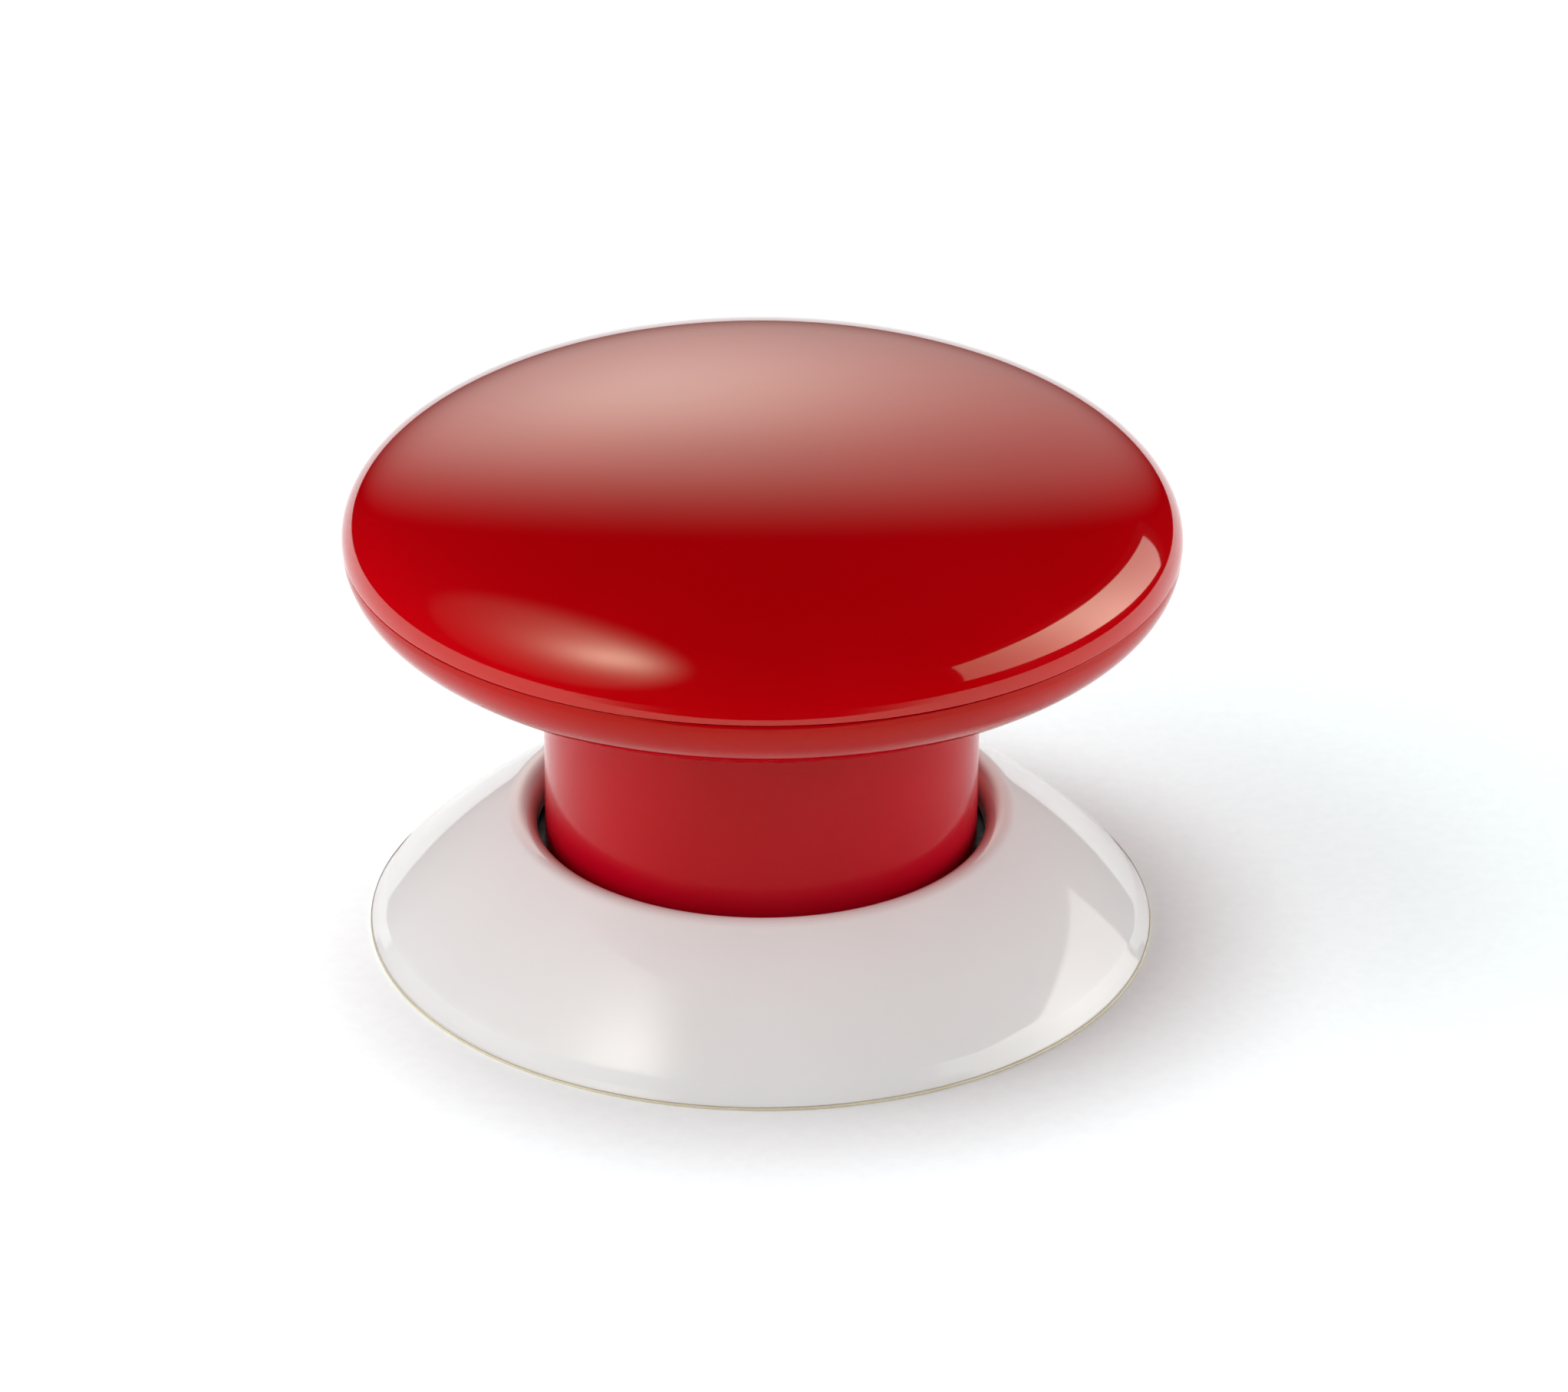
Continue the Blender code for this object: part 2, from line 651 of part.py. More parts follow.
def switch_plunger():
    chamfer = 0.3 * MM
    profile = [
        (0.0, PLUNGER_TOP_Z),
        (PLUNGER_RADIUS, PLUNGER_TOP_Z),
        (PLUNGER_RADIUS, PLUNGER_BOTTOM_Z + chamfer),
        (PLUNGER_RADIUS - chamfer, PLUNGER_BOTTOM_Z),
        (0.0, PLUNGER_BOTTOM_Z),
    ]
    return finish(turned("switch_plunger", profile, "cream_plastic", steps=SMALL_STEPS))


def battery_holder():
    """Open ring round the coin cell, with a gap in one side where a finger lifts the cell."""
    inner = CELL_RADIUS + 0.4 * MM
    outer = inner + 1.1 * MM
    top = CELL_BOTTOM_Z + CELL_HEIGHT - 0.6 * MM
    floor_inner = 6.0 * MM
    floor_top = PART_Z + 0.5 * MM
    profile = [
        (inner, top),
        (outer, top),
        (outer, PART_Z),
        (floor_inner, PART_Z),
        (floor_inner, floor_top),
        (inner, floor_top),
    ]
    holder = turned("battery_holder", profile, "black_plastic", steps=28, location=(CELL_CENTRE_X, 0.0, 0.0))
    finger_half_width = 3.0 * MM
    finger_start = inner - 2.4 * MM
    low = (CELL_CENTRE_X + finger_start, -finger_half_width, floor_top)
    high = (CELL_CENTRE_X + outer + THROUGH, finger_half_width, top + THROUGH)
    combine(holder, [box_tool("holder_finger_gap", low, high)], "DIFFERENCE")
    return finish(holder)


def coin_cell():
    """Coin cell: wide positive can, with the smaller negative cap underneath."""
    step = 0.5 * MM
    cap_radius = CELL_RADIUS - 1.4 * MM
    edge = 0.3 * MM
    top = CELL_BOTTOM_Z + CELL_HEIGHT
    profile = [
        (0.0, top),
        (CELL_RADIUS - edge, top),
        (CELL_RADIUS, top - edge),
        (CELL_RADIUS, CELL_BOTTOM_Z + step),
        (cap_radius, CELL_BOTTOM_Z + step),
        (cap_radius, CELL_BOTTOM_Z),
        (0.0, CELL_BOTTOM_Z),
    ]
    return finish(turned("coin_cell", profile, "steel", steps=28, location=(CELL_CENTRE_X, 0.0, 0.0)))


def battery_contact():
    """Dished disc under the cell, soldered to the board."""
    rim = 4.5 * MM
    crown = 2.0 * MM
    thickness = 0.2 * MM
    crown_top = CELL_BOTTOM_Z - GAP
    profile = [
        (0.0, crown_top),
        (crown, crown_top),
        (rim, PART_Z + thickness),
        (rim, PART_Z),
        (0.0, PART_Z),
    ]
    location = (CELL_CENTRE_X, 0.0, 0.0)
    return finish(turned("battery_contact", profile, "brass", steps=SMALL_STEPS, location=location))


def battery_clip():
    """Strap over the cell with a leg on each side; a flat outline extruded to the strap's width."""
    strap_width = 4.6 * MM
    thickness = 0.4 * MM
    leg = CELL_RADIUS + 2.2 * MM
    top = CELL_BOTTOM_Z + CELL_HEIGHT + GAP + thickness
    outline = [
        (-leg, PART_Z),
        (-leg, top),
        (leg, top),
        (leg, PART_Z),
        (leg - thickness, PART_Z),
        (leg - thickness, top - thickness),
        (-leg + thickness, top - thickness),
        (-leg + thickness, PART_Z),
    ]
    curve = bpy.data.curves.new("battery_clip", "CURVE")
    curve.dimensions = "2D"
    curve.fill_mode = "BOTH"
    curve.extrude = strap_width / 2.0
    spline = curve.splines.new("POLY")
    spline.points.add(len(outline) - 1)
    for point, (sideways, up) in zip(spline.points, outline):
        point.co = (sideways, up, 0.0, 1.0)
    spline.use_cyclic_u = True
    clip = place("battery_clip", curve, "steel")
    upright = Matrix.Rotation(math.pi / 2.0, 4, "X")
    across = Matrix.Rotation(math.pi / 2.0, 4, "Z")
    clip.matrix_world = Matrix.Translation((CELL_CENTRE_X, 0.0, 0.0)) @ across @ upright
    return clip


def sounder():
    """Round sounder with a port in its top."""
    radius = 4.0 * MM
    port = 0.7 * MM
    edge = 0.3 * MM
    top = PART_Z + 2.9 * MM
    port_floor = top - 1.0 * MM
    profile = [
        (0.0, port_floor),
        (port, port_floor),
        (port, top),
        (radius - edge, top),
        (radius, top - edge),
        (radius, PART_Z),
        (0.0, PART_Z),
    ]
    location = (10.2 * MM, -8.6 * MM, 0.0)
    return finish(turned("sounder", profile, "black_plastic", steps=16, location=location))


def antenna_coil():
    """Upright coil of copper wire at the edge of the board."""
    wire = 0.25 * MM
    coil_radius = 1.15 * MM
    turns = 4.0
    pitch = 0.8 * MM
    points_per_turn = 10
    curve = bpy.data.curves.new("antenna_coil", "CURVE")
    curve.dimensions = "3D"
    curve.bevel_depth = wire
    curve.bevel_resolution = 1
    curve.use_fill_caps = True
    count = int(turns * points_per_turn) + 1
    spline = curve.splines.new("POLY")
    spline.points.add(count - 1)
    for i in range(count):
        turn = i / points_per_turn
        angle = math.tau * turn
        x, y = coil_radius * math.cos(angle), coil_radius * math.sin(angle)
        spline.points[i].co = (x, y, pitch * turn, 1.0)
    return place("antenna_coil", curve, "copper", (15.2 * MM, 5.2 * MM, PART_Z + wire))


def small_parts():
    """Rectangular components on the board: centre, size, look and edge bevel."""
    made = []
    table = (
        ("radio_module", (9.8, 8.4), (6.0, 5.0, 1.6), "steel", 0.25),
        ("control_chip", (10.6, 0.8), (4.0, 4.0, 0.9), "black_plastic", 0.1),
        ("crystal", (10.6, -2.7), (2.5, 2.0, 0.7), "steel", 0.12),
        ("capacitor", (2.5, 14.2), (3.5, 2.8, 1.9), "brass", 0.15),
        ("status_lamp_1", (-1.0, 15.5), (1.6, 0.9, 0.7), "lamp", 0.1),
        ("status_lamp_2", (-1.0, -15.5), (1.6, 0.9, 0.7), "lamp", 0.1),
    )
    for name, centre, size, look, bevel in table:
        spot = [value * MM for value in centre]
        extent = [value * MM for value in size]
        made.append(finish(block(name, spot, extent, PART_Z, look, bevel * MM)))
    return made


# --- Assembly ---------------------------------------------------------------------------------

base_body = empty_on_axis("base_body")
button_body = empty_on_axis("button_body", base_body)
cap_body = empty_on_axis("cap_body", button_body)
plunger_body = empty_on_axis("plunger_body", button_body)

base_screws = screws("base_screw", BASE_SCREW_CIRCLE, BASE_SCREW_ANGLES, BASE_SCREW_SEAT_Z, True)
board_screws = screws("board_screw", BOARD_SCREW_CIRCLE, BOARD_SCREW_ANGLES, PART_Z, False)

stand_in_body(base_body, adhesive_pad(), base_flange(), base_plate(), stop_buffer(), return_spring())
stand_in_body(base_body, *base_screws)
stand_in_body(button_body, stem_tube(), retaining_ring(), cap_lower_shell(), seal_ring(), main_board())
stand_in_body(button_body, switch_body(), battery_holder(), coin_cell(), battery_contact(), battery_clip())
stand_in_body(button_body, sounder(), antenna_coil(), *board_screws, *small_parts())
stand_in_body(cap_body, cap_upper_shell())
stand_in_body(plunger_body, switch_plunger())
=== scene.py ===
"""Looks of the mushroom push buzzer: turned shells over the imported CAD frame, in a small product studio.

Metres, +Z up, in the frame of the CAD. The two cap shells, stem, base flange, pad and spring are finer
copies of their CAD nodes; every other piece stays the CAD node and gets its own material.
"""

import math

import bmesh
import bpy
from mathutils import Matrix, Vector


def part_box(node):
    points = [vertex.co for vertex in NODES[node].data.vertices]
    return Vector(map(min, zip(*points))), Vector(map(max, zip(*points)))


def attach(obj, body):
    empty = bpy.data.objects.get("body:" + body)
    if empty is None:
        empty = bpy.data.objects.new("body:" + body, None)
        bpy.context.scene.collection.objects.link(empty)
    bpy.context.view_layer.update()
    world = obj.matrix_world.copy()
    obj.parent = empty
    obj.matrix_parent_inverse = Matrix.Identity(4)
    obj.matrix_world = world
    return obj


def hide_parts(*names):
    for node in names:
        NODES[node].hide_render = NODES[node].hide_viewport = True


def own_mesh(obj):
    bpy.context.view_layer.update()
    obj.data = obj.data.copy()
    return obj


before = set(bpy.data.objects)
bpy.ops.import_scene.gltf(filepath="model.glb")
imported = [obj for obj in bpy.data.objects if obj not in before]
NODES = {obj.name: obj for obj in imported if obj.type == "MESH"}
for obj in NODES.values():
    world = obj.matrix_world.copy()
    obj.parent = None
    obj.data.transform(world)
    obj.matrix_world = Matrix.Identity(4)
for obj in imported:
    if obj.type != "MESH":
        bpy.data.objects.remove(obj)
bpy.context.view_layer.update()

MM = 0.001
SCENE = bpy.context.scene


# --- Camera -----------------------------------------------------------------------------------

CAMERA_ELEVATION = math.radians(27.014)
CAMERA_ROLL = math.radians(0.344)
CAMERA_DISTANCE = 340.0 * MM
CAMERA_TARGET = Vector((1.234, 0.0, 13.636)) * MM
CAMERA_LENS = 140.72
SENSOR_WIDTH = 36.0


def make_camera():
    back = Vector((0.0, -math.cos(CAMERA_ELEVATION), math.sin(CAMERA_ELEVATION)))
    level_right = Vector((1.0, 0.0, 0.0))
    level_up = back.cross(level_right)
    right = math.cos(CAMERA_ROLL) * level_right + math.sin(CAMERA_ROLL) * level_up
    up = back.cross(right)
    data = bpy.data.cameras.new("camera")
    data.sensor_width = SENSOR_WIDTH
    data.lens = CAMERA_LENS
    data.clip_start = 0.01
    data.clip_end = 50.0
    camera = bpy.data.objects.new("camera", data)
    turn = Matrix((right, up, back)).transposed().to_4x4()
    camera.matrix_world = Matrix.Translation(CAMERA_TARGET + back * CAMERA_DISTANCE) @ turn
    SCENE.collection.objects.link(camera)
    SCENE.camera = camera


# --- Node helpers -----------------------------------------------------------------------------

class Tree:
    """The nodes of a new material or world; most methods add a node and return its output socket."""

    def __init__(self, name, world=False):
        self.owner = bpy.data.worlds.new(name) if world else bpy.data.materials.new(name)
        self.owner.use_nodes = True
        self.nodes = self.owner.node_tree.nodes
        self.links = self.owner.node_tree.links
        self.nodes.clear()
        self.output = self.nodes.new("ShaderNodeOutputWorld" if world else "ShaderNodeOutputMaterial")

    def feed(self, node, key, value):
        """Set an input by name or number, or link it to another node's socket."""
        socket = node.inputs[int(key)] if key.isdigit() else node.inputs[key]
        if isinstance(value, bpy.types.NodeSocket):
            self.links.new(value, socket)
        else:
            socket.default_value = value

    def math(self, operation, first, second=0.0):
        node = self.nodes.new("ShaderNodeMath")
        node.operation = operation
        for number, value in enumerate((first, second)):
            self.feed(node, str(number), value)
        return node.outputs[0]

    def between(self, value, low_in, high_in, low_out, high_out, smooth=False):
        """Map one range to another, held at both ends."""
        node = self.nodes.new("ShaderNodeMapRange")
        node.interpolation_type = "SMOOTHSTEP" if smooth else "LINEAR"
        for number, entry in enumerate((value, low_in, high_in, low_out, high_out)):
            self.feed(node, str(number), entry)
        return node.outputs[0]

    def mix(self, share, first, second):
        node = self.nodes.new("ShaderNodeMix")
        node.data_type = "RGBA"
        self.feed(node, "0", share)
        self.feed(node, "6", first)
        self.feed(node, "7", second)
        return node.outputs[2]

    def place(self, scale=(1.0, 1.0, 1.0)):
        """Object coordinates in metres, stretched by scale."""
        coords = self.nodes.new("ShaderNodeTexCoord")
        mapping = self.nodes.new("ShaderNodeMapping")
        mapping.inputs["Scale"].default_value = scale
        self.links.new(coords.outputs["Object"], mapping.inputs["Vector"])
        return mapping.outputs["Vector"]

    def noise(self, scale, detail=3.0, roughness=0.5, stretch=(1.0, 1.0, 1.0)):
        node = self.nodes.new("ShaderNodeTexNoise")
        self.links.new(self.place(stretch), node.inputs["Vector"])
        node.inputs["Scale"].default_value = scale
        node.inputs["Detail"].default_value = detail
        node.inputs["Roughness"].default_value = roughness
        return node.outputs["Fac"]

    def bump(self, height, strength, distance, normal=None):
        node = self.nodes.new("ShaderNodeBump")
        node.inputs["Strength"].default_value = strength
        node.inputs["Distance"].default_value = distance
        self.links.new(height, node.inputs["Height"])
        if normal is not None:
            self.links.new(normal, node.inputs["Normal"])
        return node.outputs["Normal"]

    def surface(self, colour, roughness, normal, metallic=0.0, **fixed):
        """Finish the material; fixed are more shader inputs, with _ for each space in a name."""
        shader = self.nodes.new("ShaderNodeBsdfPrincipled")
        self.feed(shader, "Base Color", colour)
        self.feed(shader, "Roughness", roughness)
        self.feed(shader, "Normal", normal)
        shader.inputs["Metallic"].default_value = metallic
        for key, value in fixed.items():
            shader.inputs[key.replace("_", " ")].default_value = value
        return self.finish(shader.outputs["BSDF"])

    def finish(self, shader):
        self.links.new(shader, self.output.inputs["Surface"])
        return self.owner

    def along(self):
        """The object's own coordinates, as three separate sockets."""
        coords = self.nodes.new("ShaderNodeTexCoord")
        split = self.nodes.new("ShaderNodeSeparateXYZ")
        self.links.new(coords.outputs["Object"], split.inputs[0])
        return split.outputs


def rgb(red, green, blue):
    return (red, green, blue, 1.0)


# --- Materials --------------------------------------------------------------------------------

def moulded(name, dark, light, rough, peel, marks=0.0, **fixed):
    """Moulded plastic: faint colour drift, uneven gloss, orange peel, and hairline marks if any."""
    tree = Tree(name)
    drift = tree.noise(90.0, 2.0)
    colour = tree.mix(tree.between(drift, 0.35, 0.65, 0.0, 1.0), dark, light)
    haze = tree.noise(260.0, 4.0, 0.6)
    roughness = tree.between(haze, 0.3, 0.7, rough[0], rough[1])
    normal = tree.bump(tree.noise(650.0, 2.0), peel, 0.00005)
    if marks:
        hair = tree.noise(900.0, 3.0, 0.6, (1.0, 1.0, 0.04))
        normal = tree.bump(hair, marks, 0.00003, normal)
    return tree.surface(colour, roughness, normal, **fixed)


def metal(name, dark, light, rough, stretch=(1.0, 1.0, 1.0)):
    """Drawn or rolled metal: fine grain, drawn out along an axis where stretch is small, and patchy tone."""
    tree = Tree(name)
    patch = tree.noise(180.0, 4.0, 0.6)
    colour = tree.mix(tree.between(patch, 0.3, 0.7, 0.0, 1.0), dark, light)
    lines = tree.noise(1400.0, 4.0, 0.6, stretch)
    roughness = tree.between(lines, 0.3, 0.7, rough[0], rough[1])
    normal = tree.bump(lines, 0.12, 0.00003)
    return tree.surface(colour, roughness, normal, 1.0)


def foam(name, dark, light):
    """Closed-cell foam tape: pores of a tenth of a millimetre and slight staining."""
    tree = Tree(name)
    cells = tree.nodes.new("ShaderNodeTexVoronoi")
    cells.inputs["Scale"].default_value = 7000.0
    tree.links.new(tree.place(), cells.inputs["Vector"])
    stain = tree.noise(120.0, 4.0, 0.6)
    colour = tree.mix(tree.between(stain, 0.35, 0.65, 0.0, 1.0), dark, light)
    roughness = tree.between(stain, 0.3, 0.7, 0.7, 0.85)
    return tree.surface(colour, roughness, tree.bump(cells.outputs["Distance"], 0.5, 0.00006))


def circuit_board(name):
    """Green solder mask over copper tracks, which show as slightly lighter, raised lines."""
    tree = Tree(name)
    bricks = tree.nodes.new("ShaderNodeTexBrick")
    bricks.offset = 0.35
    tree.links.new(tree.place(), bricks.inputs["Vector"])
    bricks.inputs["Scale"].default_value = 300.0
    bricks.inputs["Mortar Size"].default_value = 0.03
    bricks.inputs["Mortar Smooth"].default_value = 0.2
    track = bricks.outputs["Fac"]
    weave = tree.noise(2500.0, 2.0)
    cloth = tree.between(weave, 0.3, 0.7, 0.0, 1.0)
    mask = tree.mix(cloth, rgb(0.012, 0.10, 0.035), rgb(0.02, 0.14, 0.05))
    colour = tree.mix(track, mask, rgb(0.06, 0.26, 0.10))
    roughness = tree.between(weave, 0.3, 0.7, 0.3, 0.42)
    return tree.surface(colour, roughness, tree.bump(track, 0.4, 0.00005), Coat_Weight=0.3)


def floor_paper(name):
    """Pale studio paper with a fine fibre."""
    tree = Tree(name)
    fibre = tree.noise(1200.0, 4.0, 0.6)
    tone = tree.between(fibre, 0.3, 0.7, 0.0, 1.0)
    colour = tree.mix(tone, rgb(0.86, 0.93, 0.94), rgb(0.89, 0.96, 0.97))
    return tree.surface(colour, 0.8, tree.bump(fibre, 0.05, 0.0001), Specular_IOR_Level=0.2)


# --- Mesh helpers -----------------------------------------------------------------------------

SEGMENTS = 256
ROD_SEGMENTS = 48


def link(name, mesh):
    obj = bpy.data.objects.new(name, mesh)
    SCENE.collection.objects.link(obj)
    return obj


def turned(name, profile, segments=SEGMENTS):
    """Spin (radius, height) points in millimetres about Z; a chain off the axis closes on itself."""
    bm = bmesh.new()
    rings = []
    for radius, height in profile:
        if radius == 0.0:
            rings.append([bm.verts.new((0.0, 0.0, height * MM))])
            continue
        ring = []
        for i in range(segments):
            angle = math.tau * i / segments
            spot = (radius * math.cos(angle), radius * math.sin(angle), height)
            ring.append(bm.verts.new([value * MM for value in spot]))
        rings.append(ring)
    pairs = list(zip(rings, rings[1:]))
    if len(rings[0]) > 1:
        pairs.append((rings[-1], rings[0]))
    for upper, lower in pairs:
        for i in range(segments):
            j = (i + 1) % segments
            around = ((upper, i), (lower, i), (lower, j), (upper, j))
            face = [verts[k % len(verts)] for verts, k in around]
            bm.faces.new(list(dict.fromkeys(face)))
    bmesh.ops.recalc_face_normals(bm, faces=bm.faces)
    mesh = bpy.data.meshes.new(name)
    bm.to_mesh(mesh)
    bm.free()
    return link(name, mesh)


def box_at(name, low, high, turn_degrees=0.0):
    """A box between two corners in millimetres, turned about Z; it only serves a Boolean."""
    bm = bmesh.new()
    bmesh.ops.create_cube(bm, size=1.0)
    size = [(b - a) * MM for a, b in zip(low, high)]
    middle = [(a + b) / 2.0 * MM for a, b in zip(low, high)]
    bmesh.ops.scale(bm, vec=size, verts=bm.verts)
    bmesh.ops.translate(bm, vec=middle, verts=bm.verts)
    mesh = bpy.data.meshes.new(name)
    bm.to_mesh(mesh)
    bm.free()
    mesh.transform(Matrix.Rotation(math.radians(turn_degrees), 4, "Z"))
    return link(name, mesh)


def rod_at(name, radius, bottom, top, circle, degrees):
    """An upright rod on a circle about Z; it only serves a Boolean."""
    rod = turned(name, [(0.0, top), (radius, top), (radius, bottom), (0.0, bottom)], ROD_SEGMENTS)
    angle = math.radians(degrees)
    middle = (circle * MM * math.cos(angle), circle * MM * math.sin(angle), 0.0)
    rod.data.transform(Matrix.Translation(middle))
    return rod


def combine(obj, added=(), cut=()):
    """Boolean the tools into obj, apply, and remove them."""
    for tools, operation in ((added, "UNION"), (cut, "DIFFERENCE")):
        for tool in tools:
            step = obj.modifiers.new(tool.name, "BOOLEAN")
            step.operation = operation
            step.object = tool
            weld = obj.modifiers.new("weld", "WELD")
            weld.merge_threshold = 0.000001
    graph = bpy.context.evaluated_depsgraph_get()
    mesh = bpy.data.meshes.new_from_object(obj.evaluated_get(graph))
    obj.modifiers.clear()
    obj.data = mesh
    for tool in (*added, *cut):
        bpy.data.objects.remove(tool, do_unlink=True)
    return obj


def dress(obj, body, node, material, sharp_degrees=28.0):
    """Shade a finished piece, give it its material, tie it to its body, and hide the CAD node it replaces.
    """
    obj.data.materials.clear()
    obj.data.materials.append(material)
    obj.data.shade_smooth()
    obj.data.set_sharp_from_angle(angle=math.radians(sharp_degrees))
    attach(obj, body)
    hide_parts(node)
    return obj


def arc(centre, radius, start_degrees, end_degrees, count):
    """Points of a profile along a circle, both ends included."""
    points = []
    for i in range(count + 1):
        angle = math.radians(start_degrees + (end_degrees - start_degrees) * i / count)
        points.append((centre[0] + radius * math.cos(angle), centre[1] + radius * math.sin(angle)))
    return points


# --- Profiles, in millimetres -----------------------------------------------------------------

# Cap: a superellipse above its widest point and another below
CAP_RADIUS = 23.0
CAP_WALL = 1.5
EQUATOR = 23.9
DOME_HEIGHT = 7.68
DOME_POWERS = (2.1, 1.98)
UNDER_DEPTH = 7.5
UNDER_POWERS = (1.79, 2.42)
UNDER_WALL = 1.4
LOWER_INSET = 0.05
SEAM_UPPER_Z = 23.60
SEAM_LOWER_Z = 23.55
SEAM_EDGE = 0.07
CAP_STEPS = 110
CAP_INNER_STEPS = 48
CAP_THIRDS = (0, 120, 240)
CAP_SCREW_CIRCLE = 16.3
UNDER_HOLE = 12.2

STEM_RADIUS = 12.1
STEM_BORE = 10.6

# Base: (radius, height) where the flank ends, where the rim band bends, and at the floor
HOLE_RADIUS = 12.55
LIP_ROUND = 1.1
LIP_TOP = 7.0
LIP_STEPS = 28
FLANK_STEPS = 28
FLANK_TOP_DEGREES = 33.0
FLANK_FOOT_DEGREES = 46.0
SHOULDER = (21.2, 1.2)
BAND_BREAK = (21.66, 0.55)
BASE_EDGE = (21.96, 0.18)
BASE_THIRDS = (90, 210, 330)
BASE_SCREW_CIRCLE = 15.8
SCREW_HOLE = 0.95

PAD_RADIUS = 22.0
PAD_TOP = 0.16


def dome(radius, height, count):
    """Superellipse from the axis down to the widest point."""
    points = [(0.0, EQUATOR + height)]
    for i in range(1, count + 1):
        angle = math.pi / 2.0 * i / count
        out = radius * math.sin(angle) ** (2.0 / DOME_POWERS[0])
        up = height * max(math.cos(angle), 0.0) ** (2.0 / DOME_POWERS[1])
        points.append((out, EQUATOR + up))
    return points


def underside(radius):
    """Height of the cap's lower surface."""
    share = 1.0 - (radius / CAP_RADIUS) ** UNDER_POWERS[0]
    return EQUATOR - UNDER_DEPTH * share ** (1.0 / UNDER_POWERS[1])


def upper_shell():
    """Dome with a rounded edge at the seam and three lugs inside."""
    profile = dome(CAP_RADIUS, DOME_HEIGHT, CAP_STEPS)
    centre = (CAP_RADIUS - SEAM_EDGE, SEAM_UPPER_Z + SEAM_EDGE)
    profile += arc(centre, SEAM_EDGE, 0.0, -90.0, 5)
    inner = dome(CAP_RADIUS - CAP_WALL, DOME_HEIGHT - CAP_WALL, CAP_INNER_STEPS)
    profile += [(CAP_RADIUS - CAP_WALL, SEAM_UPPER_Z)] + inner[::-1]
    shell = turned("cap_dome", profile)
    lugs = [box_at(f"lug_{turn}", (20.2, -2.5, 24.1), (22.1, 2.5, 24.6), turn) for turn in CAP_THIRDS]
    return combine(shell, added=lugs)


def lower_shell():
    """Underside from the seam to the hole for the stem, with a spigot, three lugs and three screw bosses."""
    edge_radius = CAP_RADIUS - LOWER_INSET
    profile = arc((edge_radius - SEAM_EDGE, SEAM_LOWER_Z - SEAM_EDGE), SEAM_EDGE, 90.0, 0.0, 5)
    hole_edge = 0.12
    inmost = UNDER_HOLE + hole_edge
    for i in range(1, CAP_STEPS + 1):
        radius = edge_radius - (edge_radius - inmost) * (i / CAP_STEPS) ** 2
        height = underside(radius)
        if height < SEAM_LOWER_Z - SEAM_EDGE:
            profile.append((radius, height))
    bottom = underside(inmost)
    profile += arc((inmost, bottom + hole_edge), hole_edge, -100.0, -180.0, 5)
    top = bottom + UNDER_WALL
    floor_radius = 14.6
    ramp_radius, ramp_z = 17.4, 20.1
    spigot_inner, spigot_outer = 19.1, 20.0
    spigot_foot, spigot_top = 20.8, 25.4
    ledge_radius, ledge_z = 21.4, 22.85
    profile += [(UNDER_HOLE, top), (floor_radius, top), (ramp_radius, ramp_z), (spigot_inner, spigot_foot)]
    profile += [(spigot_inner, spigot_top), (spigot_outer, spigot_top), (spigot_outer, ledge_z)]
    profile += [(ledge_radius, ledge_z), (ledge_radius, SEAM_LOWER_Z)]
    shell = turned("cap_underside", profile)
    lugs = [box_at(f"lug_{turn}", (19.6, -2.5, 24.9), (20.45, 2.5, 25.3), turn) for turn in CAP_THIRDS]
    bosses = [rod_at(f"boss_{turn}", 1.4, 19.15, 20.7, CAP_SCREW_CIRCLE, turn) for turn in CAP_THIRDS]
    holes = [rod_at(f"hole_{turn}", SCREW_HOLE, 19.4, 21.7, CAP_SCREW_CIRCLE, turn) for turn in CAP_THIRDS]
    return combine(shell, added=lugs + bosses, cut=holes)


def stem():
    """Tube with a top flange, a groove for the retaining ring, and a slotted web across its bore."""
    flange_radius, flange_bottom, flange_top = 14.2, 19.2, 20.0
    groove_radius, groove_bottom, groove_top = 11.3, 3.9, 5.3
    foot, chamfer = 3.3, 0.3
    web_hole, web_bottom, web_top = 2.8, 12.5, 13.5
    profile = [(STEM_BORE, flange_top), (flange_radius, flange_top), (flange_radius, flange_bottom)]
    profile += [(STEM_RADIUS, flange_bottom), (STEM_RADIUS, groove_top), (groove_radius, groove_top)]
    profile += [(groove_radius, groove_bottom), (STEM_RADIUS, groove_bottom), (STEM_RADIUS - chamfer, foot)]
    profile += [(STEM_BORE, foot), (STEM_BORE, web_bottom), (web_hole, web_bottom)]
    profile += [(web_hole, web_top), (STEM_BORE, web_top)]
    tube = turned("stem", profile)
    slot = box_at("slots", (-3.9, -0.8, 11.5), (3.9, 0.8, 14.5))
    return combine(tube, cut=[slot])


def flank(start, end, count):
    """Convex curve between two points that leaves at the top slope and arrives at the foot slope."""
    reach = math.dist(start, end) / 3.0
    top, foot = math.radians(FLANK_TOP_DEGREES), math.radians(FLANK_FOOT_DEGREES)
    pulls = (
        start,
        (start[0] + reach * math.cos(top), start[1] - reach * math.sin(top)),
        (end[0] - reach * math.cos(foot), end[1] + reach * math.sin(foot)),
        end,
    )
    points = []
    for i in range(1, count + 1):
        t = i / count
        shares = ((1 - t) ** 3, 3 * t * (1 - t) ** 2, 3 * t * t * (1 - t), t ** 3)
        points.append(tuple(sum(share * pull[k] for share, pull in zip(shares, pulls)) for k in (0, 1)))
    return points


def facet(start, end, margin=0.06):
    """A straight run with a point just inside each end, which keeps the tone breaks crisp."""
    share = margin / math.dist(start, end)
    near = tuple(a + (b - a) * share for a, b in zip(start, end))
    far = tuple(b - (b - a) * share for a, b in zip(start, end))
    return [near, far, end]


